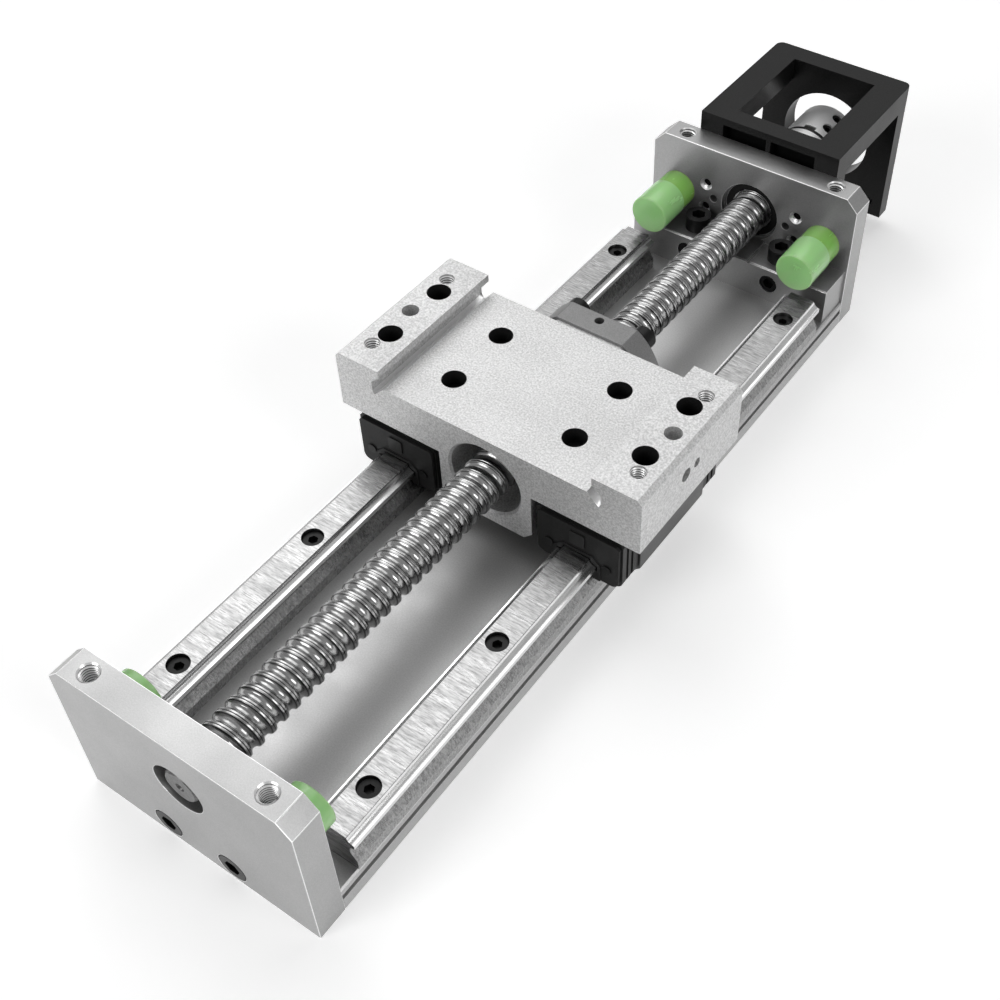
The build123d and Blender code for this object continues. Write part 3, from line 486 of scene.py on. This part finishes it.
saddleTaps = {"depth": 11.0, "sink": 0, "start": 0.1}
plateTaps = {"depth": 11.0, "sink": 0.45, "start": 0.3}
bracketTaps = {"x": 20.0, "level": 36.5, "offset": 5.5, "depth": 1.4, "sink": 0.7, "start": 0.45}
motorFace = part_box("motor_end_plate")[0].y
bracketPlaces = [Vector((x * mm, motorFace, (bracketTaps["level"] + dz) * mm))
                 for x in (-bracketTaps["x"], bracketTaps["x"])
                 for dz in (-bracketTaps["offset"], bracketTaps["offset"])]
tapped = {
    "saddle": [(patternPlaces("saddle_fixing_holes"), upward, "m6close", saddleTaps)],
    "idler_end_plate": [(patternPlaces("idler_top_holes"), upward, "m6", plateTaps)],
    "motor_end_plate": [(patternPlaces("motor_top_holes"), upward, "m6", plateTaps),
                        (bracketPlaces, forward, "m4", bracketTaps)],
}


# faces with a finish of their own

saddleMarks = {
    "channelX": (39.0, 45.5), "channelZ": (50.0, 58.0), "channelRise": 0.2,
    "boreX": (24, 50), "boreMiddleY": 6.5, "boreY": 13, "boreReach": 4.4, "boreTop": 62.2, "boreLean": 0.1,
}
racewayMarks = {"bottom": 19.8, "top": 25.9, "railX": 37, "depth": 4.95}


def markSaddle(bm):  # painted highlight on the upward faces of the channels, and painted shade on the walls of the counterbores
    nearX, farX = saddleMarks["channelX"]
    lowZ, highZ = saddleMarks["channelZ"]
    for face in bm.faces:
        middle = face.calc_center_median() / mm
        inChannel = nearX < abs(middle.x) < farX and lowZ < middle.z < highZ
        if inChannel and face.normal.z > saddleMarks["channelRise"]:
            face.material_index = cutAndHighlightIndex
        if middle.z < saddleMarks["boreTop"] and abs(face.normal.z) < saddleMarks["boreLean"]:
            across = min(abs(abs(middle.x) - x) for x in saddleMarks["boreX"])
            along = abs(abs(middle.y - saddleMarks["boreMiddleY"]) - saddleMarks["boreY"])
            if (across ** 2 + along ** 2) ** 0.5 < saddleMarks["boreReach"]:
                face.material_index = shadeIndex


def markRaceways(bm):  # painted highlight on both ball grooves and the land between them
    for face in bm.faces:
        middle = face.calc_center_median() / mm
        atSide = abs(abs(middle.x) - racewayMarks["railX"]) > racewayMarks["depth"]
        if face.normal.x and atSide and racewayMarks["bottom"] < middle.z < racewayMarks["top"]:
            face.material_index = cutAndHighlightIndex


marked = {"saddle": markSaddle, "rail_left": markRaceways, "rail_right": markRaceways}
# the bright finish of each finish, for cut faces and painted highlights; index 2 takes the painted shade
cutAndHighlightFinish = {"plate": "edge", "base": "edge", "saddle": "edge", "rail": "raceway"}
# the bevels of these pieces take the bright finish, partly a painted highlight
brightBevels = ("plate", "base", "saddle")


# ball screw: the thread is spun from one pitch of its profile

screwSizes = {  # a groove crosses the top of the screw at topGroove
    "axisLevel": 36.5, "radius": 8.0, "lead": 5.0, "steps": 48, "topGroove": -0.3, "endGap": 0.2,
    "grooveRadius": 1.75, "grooveDepth": 1.15, "grooveSteps": 10,
    "landLine": 0.22, "lineShares": (0.36, 0.5, 0.64),
    "edgeRadius": 0.22, "edgeRun": 0.6, "edgeDrop": 0.25, "rimSink": 0.7, "rimPower": 6,
    "journalSteps": 48, "smoothAngle": 40.0,
}
nearJournal = [  # distance from the near tip and radius: centre hole, chamfer and ring groove
    (0.9, 0.0), (0.9, 1.1), (0.0, 1.6), (0.0, 5.4), (0.6, 6.0),
    (3.1, 6.0), (3.1, 5.7), (3.8, 5.7), (3.8, 6.0),
]
farJournal = {"radius": 6.0, "tailRadius": 5.0, "chamfer": 0.6}


def layProfile(bm, points, centre, side):  # points are distances along the screw and radii, in mm
    rim = [bm.verts.new(centre + screwAxis * (along * mm) + side * (radius * mm)) for along, radius in points]
    edges = [bm.edges.new(pair) for pair in zip(rim, rim[1:])]
    return rim + edges


def turnedShape(points, centre):
    bm = bmesh.new()
    rim = layProfile(bm, points, centre, screwAxis.orthogonal().normalized())
    bmesh.ops.spin(bm, geom=rim, cent=centre, axis=screwAxis, angle=2 * pi,
                   steps=screwSizes["journalSteps"], use_merge=True)
    bmesh.ops.remove_doubles(bm, verts=bm.verts, dist=weldDistance / 2)
    bmesh.ops.recalc_face_normals(bm, faces=bm.faces)
    return bm


def threadShape(points, centre, turns):  # one turn is spun and then repeated
    lead = screwSizes["lead"] * mm
    steps = screwSizes["steps"]
    bm = bmesh.new()
    rim = layProfile(bm, points, centre, upward)
    bmesh.ops.spin(bm, geom=rim, cent=centre, axis=screwAxis, angle=2 * pi,
                   dvec=screwAxis * (lead / steps), steps=steps, use_merge=False)
    mesh = bpy.data.meshes.new("oneTurn")
    bm.to_mesh(mesh)
    for _ in range(turns - 1):
        mesh.transform(Matrix.Translation(screwAxis * lead))
        bm.from_mesh(mesh)
    bpy.data.meshes.remove(mesh)
    bmesh.ops.remove_doubles(bm, verts=bm.verts, dist=weldDistance)
    return bm


def threadProfile():  # the land with its fine line, then the ball groove, and where the groove is deepest
    radius = screwSizes["radius"]
    lead = screwSizes["lead"]
    edge = screwSizes["edgeRadius"]
    run = screwSizes["edgeRun"] * edge
    lowered = radius - screwSizes["edgeDrop"] * edge
    ballRadius = screwSizes["grooveRadius"]
    centreRadius = radius - screwSizes["grooveDepth"] + ballRadius
    half = (ballRadius ** 2 - (centreRadius - radius) ** 2) ** 0.5
    land = lead - 2 * half - 2 * edge
    deepest = land + edge + half
    lineStart, lineMiddle, lineEnd = (share * land for share in screwSizes["lineShares"])
    profile = [(0.0, radius), (lineStart, radius), (lineMiddle, radius - screwSizes["landLine"]),
               (lineEnd, radius), (land, radius), (land + run, lowered)]
    steps = screwSizes["grooveSteps"]
    for i in range(steps + 1):
        along = -half + 2 * half * i / steps
        sink = screwSizes["rimSink"] * edge * abs(along / half) ** screwSizes["rimPower"]
        profile.append((deepest + along, centreRadius - (ballRadius ** 2 - along ** 2) ** 0.5 - sink))
    profile.append((lead - run, lowered))
    profile.append((lead, radius))
    return profile, deepest


def makeJournals(threadNear, threadFar):
    lowest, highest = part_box("ball_screw")
    near = lowest.y / mm
    far = highest.y / mm
    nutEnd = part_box("bearing_locknut")[1].y / mm
    radius = farJournal["radius"]
    tailRadius = farJournal["tailRadius"]
    chamfer = farJournal["chamfer"]
    centre = Vector((0, 0, screwSizes["axisLevel"])) * mm
    head = [(near + along, level) for along, level in nearJournal]
    journals = turnedShape(head + [(threadNear, radius), (threadNear, 0.0)], centre)
    tail = [(threadFar, 0.0), (threadFar, radius), (nutEnd, radius), (nutEnd, tailRadius),
            (far - chamfer, tailRadius), (far, tailRadius - chamfer), (far, 0.0)]
    joinInto(journals, turnedShape(tail, centre))
    for face in journals.faces:
        face.material_index = 1
    return journals


def makeBallScrew():
    lead = screwSizes["lead"]
    profile, deepest = threadProfile()
    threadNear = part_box("idler_end_plate")[1].y / mm + screwSizes["endGap"]
    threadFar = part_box("motor_bearing_inner_ring")[0].y / mm - screwSizes["endGap"]
    turnsBefore = int((screwSizes["topGroove"] - threadNear) / lead) + 3
    start = screwSizes["topGroove"] - turnsBefore * lead - deepest
    turns = int((threadFar - start) / lead) + 2
    bm = threadShape(profile, Vector((0, start, screwSizes["axisLevel"])) * mm, turns)
    for level, outward in ((threadNear, -1), (threadFar, 1)):
        cutPlane(bm, (0, level * mm, 0), (0, outward, 0), clear=True)
    rims = [e for e in bm.edges if len(e.link_faces) == 1]
    bmesh.ops.holes_fill(bm, edges=rims, sides=0)
    bmesh.ops.recalc_face_normals(bm, faces=bm.faces)
    joinInto(bm, makeJournals(threadNear, threadFar))
    finishPiece("ball_screw_piece", bm, finishes["screw"], "screw", ("ball_screw",),
                screwSizes["smoothAngle"], others=(finishes["journal"],))


makeBallScrew()
print("ball screw made")


# CAD pieces with bevelled creases

def dressNode(node, body, slot, finish, width):
    bm = nodeShape(node)
    holes = tapped.get(node, ())
    coils = [tappedHoles(bm, *row) for row in holes]
    rims = [(place, tapSizes[size]["root"] * mm) for places, _, size, taps in holes
            if not taps["sink"] for place in places]
    bevelCreases(bm, width * mm, cutAndHighlightIndex if finish in brightBevels else -1, rims)
    if node in marked:
        marked[node](bm)
    for coil in coils:
        joinInto(bm, coil)
    others = (finishes[cutAndHighlightFinish[finish]], finishes["threadShade"]) if finish in cutAndHighlightFinish else ()
    finishPiece(node + "_piece", bm, finishes[finish], body, (node,), others=others)


dressed = [  # node, body, slot, finish, width of the bevels in mm
    ("base_plate", "frame", "plate_aluminium", "base", 0.15),
    ("idler_end_plate", "frame", "plate_aluminium", "plate", 0.35),
    ("motor_end_plate", "frame", "plate_aluminium", "plate", 0.35),
    ("motor_foot_block", "frame", "plate_aluminium", "plate", 0.25),
    ("rail_left", "frame", "rail_steel", "rail", 0.12),
    ("rail_right", "frame", "rail_steel", "rail", 0.12),
    ("rail_screws", "frame", "black_screws", "blackScrews", 0.2),
    ("idler_plate_screws", "frame", "black_screws", "blackScrews", 0.3),
    ("motor_plate_screws", "frame", "black_screws", "blackScrews", 0.3),
    ("foot_clamp_screws", "frame", "black_screws", "blackScrews", 0.4),
    ("foot_lock_screws", "frame", "black_screws", "blackScrews", 0.3),
    ("bracket_screws", "frame", "black_screws", "blackScrews", 0.2),
    ("near_bumper_left", "frame", "bumper_green", "bumper", 0.2),
    ("near_bumper_right", "frame", "bumper_green", "bumper", 0.2),
    ("far_bumper_left", "frame", "bumper_green", "bumper", 0.2),
    ("far_bumper_right", "frame", "bumper_green", "bumper", 0.2),
    ("motor_bracket", "frame", "bracket_black", "bracket", 0.3),
    ("coupling_screw_hub", "screw", "coupling_aluminium", "coupling", 0.15),
    ("coupling_motor_hub", "screw", "coupling_aluminium", "coupling", 0.15),
    ("saddle", "carriage", "saddle_aluminium", "saddle", 0.25),
    ("block_body_left", "carriage", "block_steel", "blockSteel", 0.2),
    ("block_body_right", "carriage", "block_steel", "blockSteel", 0.2),
    ("ball_nut", "carriage", "block_steel", "nut", 0.2),
    ("nut_flange_screws", "carriage", "black_screws", "blackScrews", 0.3),
    ("block_cap_left_front", "carriage", "cap_plastic", "caps", 0.15),
    ("block_cap_left_back", "carriage", "cap_plastic", "caps", 0.15),
    ("block_cap_right_front", "carriage", "cap_plastic", "caps", 0.15),
    ("block_cap_right_back", "carriage", "cap_plastic", "caps", 0.15),
    ("block_end_seals", "carriage", "seal_rubber", "rubber", 0.12),
    ("block_grease_plugs", "carriage", "cap_plastic", "caps", 0.12),
    ("block_cap_screws", "carriage", "black_screws", "blackScrews", 0.12),
    ("block_screws", "carriage", "black_screws", "blackScrews", 0.25),
    ("nut_wipers", "carriage", "cap_plastic", "caps", 0.1),
    ("idler_bearing_outer_ring", "frame", "bearing_steel", "bearing", 0.1),
    ("motor_bearing_outer_ring", "frame", "bearing_steel", "bearing", 0.1),
    ("idler_retaining_ring", "screw", "black_screws", "blackScrews", 0.1),
    ("bearing_locknut", "screw", "black_screws", "blackScrews", 0.2),
    ("coupling_center_disc", "screw", "cap_plastic", "caps", 0.2),
    ("coupling_set_screws", "screw", "black_screws", "blackScrews", 0.12),
]
for row in dressed:
    dressNode(*row)
print("CAD pieces dressed:", len(dressed))


# the CAD nodes take the finish of their slot

slotFinish = {
    "plate_aluminium": "plate", "saddle_aluminium": "saddle", "rail_steel": "rail",
    "screw_steel": "screw", "bearing_steel": "bearing", "block_steel": "blockSteel",
    "black_screws": "blackScrews", "cap_plastic": "caps", "seal_rubber": "rubber",
    "bumper_green": "bumper", "bracket_black": "bracket", "coupling_aluminium": "coupling",
}
slotOfNode = {row["node"]: row["material_slot"] for row in frame["record"]["subparts"]}
for node, piece in nodes.items():
    for materialSlot in piece.material_slots:
        materialSlot.material = finishes[slotFinish[slotOfNode[node]]]
print("CAD nodes finished:", len(nodes))


# floor, world and lamps

studio = {
    "floorSize": 6.0, "floorGrey": 0.92, "floorRoughness": 0.9, "floorGlow": 0.44,
    "zenith": 0.05, "horizon": 0.035, "horizonEnd": 0.05, "zenithStart": 0.75,
    "sideLift": 0.013, "mirroredSky": 0.45,
    "lampAim": (0, 0, 0.03),
    "lamps": [  # name, place, size, power
        ("overheadLamp", (-0.45, 0.85, 1.55), 1.7, 11.0),
        ("leftLamp", (-0.95, 0.42, 1.25), 0.9, 3.6),
        ("rightLamp", (1.6, -0.1, 0.9), 0.9, 9.0),
        ("frontLamp", (-0.5, -1.6, 1.0), 1.0, 13.0),
    ],
}
white = (1, 1, 1, 1)


def addSeenMasks(tree):  # one where the camera sees the background, and one where metal or glass shows it
    path = tree.nodes.new("ShaderNodeLightPath")
    mirrored = addMath(tree, "MAXIMUM", path.outputs["Is Glossy Ray"], path.outputs["Is Transmission Ray"])
    return path.outputs["Is Camera Ray"], mirrored


def makeFloor():
    floor = bmesh.new()
    bmesh.ops.create_grid(floor, x_segments=1, y_segments=1, size=studio["floorSize"])
    mesh = bpy.data.meshes.new("floor")
    floor.to_mesh(mesh)
    floor.free()
    material, tree, shader, _ = newMaterial("paleFloor")
    shader.inputs["Base Color"].default_value = (*grey(studio["floorGrey"]), 1)
    shader.inputs["Roughness"].default_value = studio["floorRoughness"]
    shader.inputs["Specular IOR Level"].default_value = 0.0
    shader.inputs["Emission Color"].default_value = white
    seen = addMath(tree, "MAXIMUM", *addSeenMasks(tree))
    glow = addMath(tree, "MULTIPLY", seen, studio["floorGlow"])
    tree.links.new(glow, shader.inputs["Emission Strength"])
    mesh.materials.append(material)
    piece = bpy.data.objects.new("floor", mesh)
    bpy.context.collection.objects.link(piece)


def makeWorld():  # white to the camera, and to the object brightest overhead
    world = bpy.data.worlds.new("studio")
    world.use_nodes = True
    bpy.context.scene.world = world
    tree = world.node_tree
    background = tree.nodes["Background"]
    background.inputs["Color"].default_value = white
    split = tree.nodes.new("ShaderNodeSeparateXYZ")
    tree.links.new(tree.nodes.new("ShaderNodeTexCoord").outputs["Generated"], split.inputs[0])
    height = addRange(tree, split.outputs["Z"], studio["horizonEnd"], studio["zenithStart"],
                      studio["horizon"], studio["zenith"])
    height.node.interpolation_type = "SMOOTHSTEP"
    side = addMath(tree, "MULTIPLY", split.outputs["X"], studio["sideLift"], clamp=True)
    level = addMath(tree, "ADD", height, side)
    seen, mirrored = addSeenMasks(tree)
    sky = addMath(tree, "MAXIMUM", level, addMath(tree, "MULTIPLY", mirrored, studio["mirroredSky"]))
    tree.links.new(addMath(tree, "MAXIMUM", sky, seen), background.inputs["Strength"])


def makeLamps():
    for name, place, size, power in studio["lamps"]:
        data = bpy.data.lights.new(name, "AREA")
        data.shape = "SQUARE"
        data.size = size
        data.energy = power
        lamp = bpy.data.objects.new(name, data)
        lamp.location = place
        aim = Vector(studio["lampAim"]) - Vector(place)
        lamp.rotation_euler = aim.to_track_quat("-Z", "Y").to_euler()
        bpy.context.collection.objects.link(lamp)


makeFloor()
makeWorld()
makeLamps()
bpy.context.scene.view_settings.view_transform = "Standard"
print("studio made")
